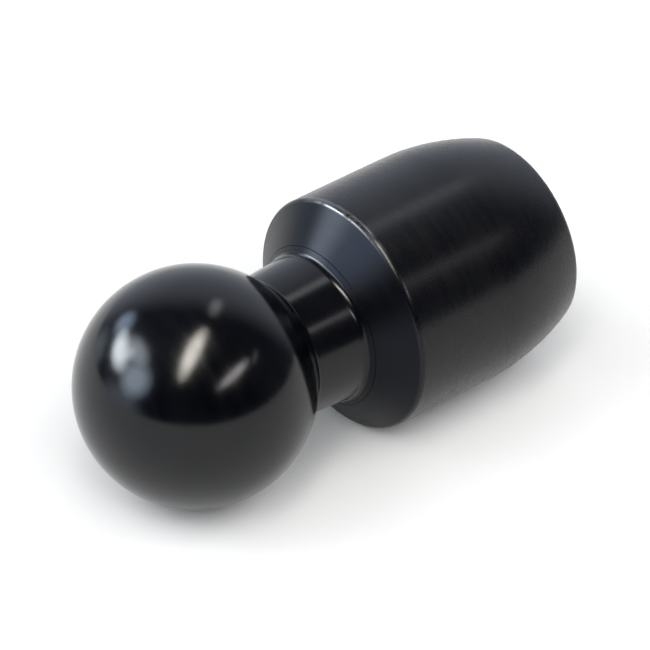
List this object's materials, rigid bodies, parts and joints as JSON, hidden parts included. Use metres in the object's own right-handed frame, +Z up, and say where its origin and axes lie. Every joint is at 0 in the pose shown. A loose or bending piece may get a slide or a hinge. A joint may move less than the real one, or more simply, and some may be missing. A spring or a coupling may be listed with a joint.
{
  "type": "ball stud rod end",
  "caption": "Turned black ball stud on a short neck that swivels in a crowned barrel, with a female rod thread in the rear face.",
  "frame": {"origin": "centre of the ball", "axes": "+X along the stud's axis, from the ball to the threaded socket; +Z up with the rod end lying on its side; +Y completes the right-handed frame"},
  "size_m": [0.056, 0.026, 0.026],
  "materials": {
    "ball_black_steel": "blackened steel, the ball polished",
    "barrel_black_steel": "blackened steel, satin with fine turning marks",
    "socket_black_steel": "blackened steel, as turned",
    "bronze": "sintered bronze, oiled",
    "spring_steel": "oiled spring steel",
    "nitrile": "matt black nitrile rubber"
  },
  "bodies": {
    "barrel": {"barrel": "barrel_black_steel", "journal_bush": "bronze", "front_thrust_washer": "bronze", "rear_thrust_washer": "bronze", "rod_socket": "socket_black_steel", "grease_disc": "spring_steel"},
    "stud": {"ball_stud": "ball_black_steel", "dust_seal": "nitrile", "wave_spring": "spring_steel", "support_washer": "spring_steel", "retaining_ring": "spring_steel"}
  },
  "joints": [
    {"name": "stud_swivel", "type": "hinge", "parent": "barrel", "child": "stud", "pos_m": [0.0234, 0, 0], "axis": [1, 0, 0], "continuous": true}
  ]
}
